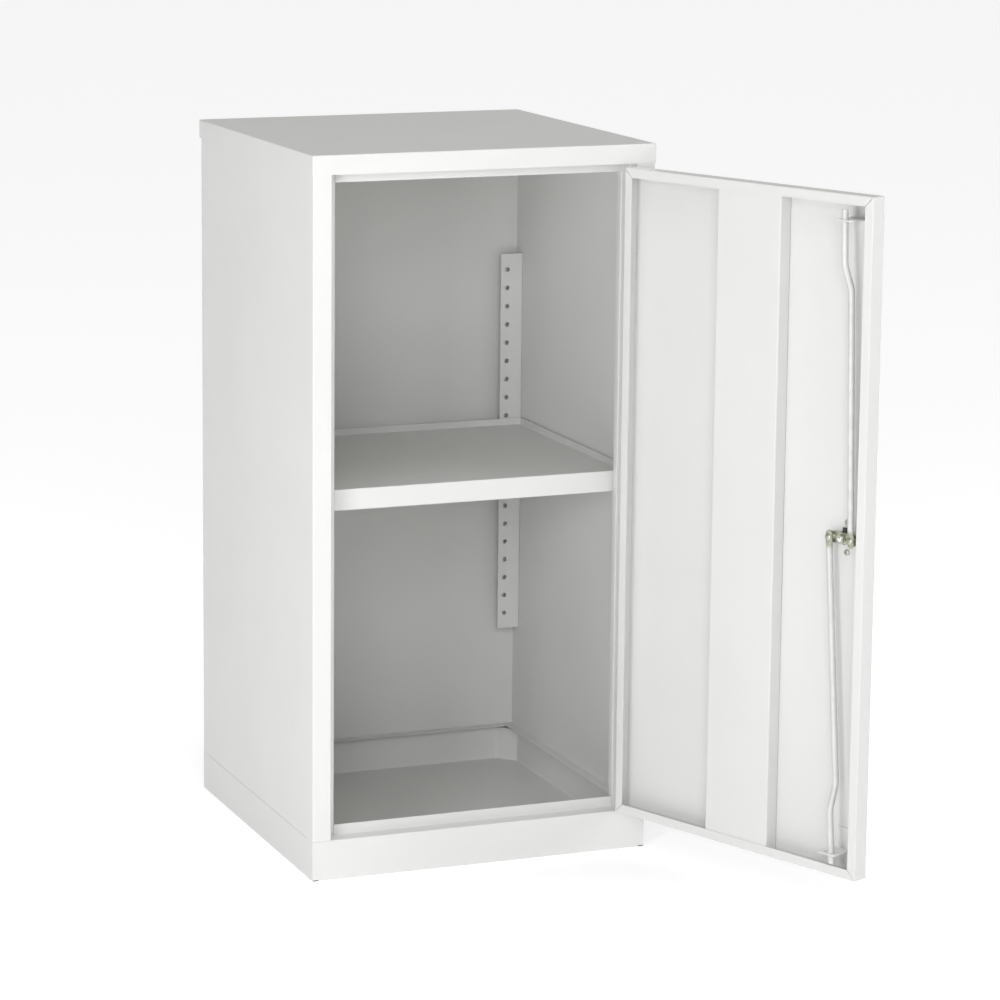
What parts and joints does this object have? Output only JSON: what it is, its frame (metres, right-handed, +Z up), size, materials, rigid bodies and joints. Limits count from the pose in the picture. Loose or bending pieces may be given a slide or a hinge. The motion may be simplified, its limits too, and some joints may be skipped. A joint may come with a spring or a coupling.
{
  "type": "reagent storage cabinet",
  "caption": "Free-standing steel storage cabinet with a hinged door, a lift-out tray shelf, a sump base and a rod lock worked by a lever handle.",
  "frame": {"origin": "on the floor under the middle of the cap, on the underside of the sump tray", "axes": "+Z up, -Y out through the doorway, +X towards the hinge side"},
  "size_m": [0.6006, 0.8353, 0.915],
  "materials": {
    "white_powder_coat": "satin powder coat with a fine orange peel",
    "zinc": "bright zinc plate",
    "rod_steel": "light zinc plate on drawn bar",
    "cast_chrome": "satin chrome on a casting",
    "plug_brass": "nickelled brass",
    "brass": "plain brass",
    "black_plastic": "moulded"
  },
  "bodies": {
    "cabinet": {"left_side": "white_powder_coat", "right_side": "white_powder_coat", "back_panel": "white_powder_coat", "top_cap": "white_powder_coat", "header_rail": "white_powder_coat", "plinth_front": "white_powder_coat", "plinth_left": "white_powder_coat", "plinth_right": "white_powder_coat", "plinth_back": "white_powder_coat", "sump_tray": "white_powder_coat", "corner_pads": "black_plastic", "shelf_strip_front_left": "white_powder_coat", "shelf_strip_front_right": "white_powder_coat", "shelf_strip_rear_left": "white_powder_coat", "shelf_strip_rear_right": "white_powder_coat", "shelf_clips": "zinc", "upper_hinge_frame_leaf": "white_powder_coat", "lower_hinge_frame_leaf": "white_powder_coat", "upper_hinge_pin": "zinc", "lower_hinge_pin": "zinc", "hinge_washers": "brass"},
    "door": {"door_panel": "white_powder_coat", "door_stiffener": "white_powder_coat", "upper_rod_guide": "white_powder_coat", "lower_rod_guide": "white_powder_coat", "upper_hinge_door_leaf": "white_powder_coat", "lower_hinge_door_leaf": "white_powder_coat", "handle_base": "cast_chrome", "handle_screws": "zinc"},
    "lock": {"lever_handle": "cast_chrome", "lock_cam": "zinc", "limit_washer": "black_plastic", "cam_washer": "zinc", "cam_nut": "zinc", "rod_pins": "zinc"},
    "plug": {"lock_plug": "plug_brass"},
    "upper_rod": {"upper_lock_rod": "rod_steel"},
    "lower_rod": {"lower_lock_rod": "rod_steel"},
    "shelf": {"shelf": "white_powder_coat"}
  },
  "joints": [
    {"name": "door_hinge", "type": "hinge", "parent": "cabinet", "child": "door", "pos_m": [0.2011, -0.2275, 0.47], "axis": [0, 0, 1], "range_deg": [-112.5, 60]},
    {"name": "lock_turn", "type": "hinge", "parent": "door", "child": "lock", "pos_m": [0.3304, -0.56317, 0.47], "axis": [-0.9239, -0.3827, 0], "range_deg": [0, 90]},
    {"name": "upper_rod_pivot", "type": "hinge", "parent": "lock", "child": "upper_rod", "pos_m": [0.33082, -0.58118, 0.47], "axis": [-0.9239, -0.3827, 0], "range_deg": [-93, 0]},
    {"name": "lower_rod_pivot", "type": "hinge", "parent": "lock", "child": "lower_rod", "pos_m": [0.31796, -0.55014, 0.47], "axis": [-0.9239, -0.3827, 0], "range_deg": [-93, 0]},
    {"name": "plug_turn", "type": "hinge", "parent": "lock", "child": "plug", "pos_m": [0.36089, -0.55054, 0.47], "axis": [-0.9239, -0.3827, 0], "range_deg": [0, 90]},
    {"name": "shelf_lift", "type": "slide", "parent": "cabinet", "child": "shelf", "axis": [0, 0, 1], "range_m": [0, 0.3]}
  ],
  "couplings": [
    {"joint": "upper_rod_pivot", "follows": "lock_turn", "ratio": -1.0279},
    {"joint": "lower_rod_pivot", "follows": "lock_turn", "ratio": -1.0268}
  ]
}
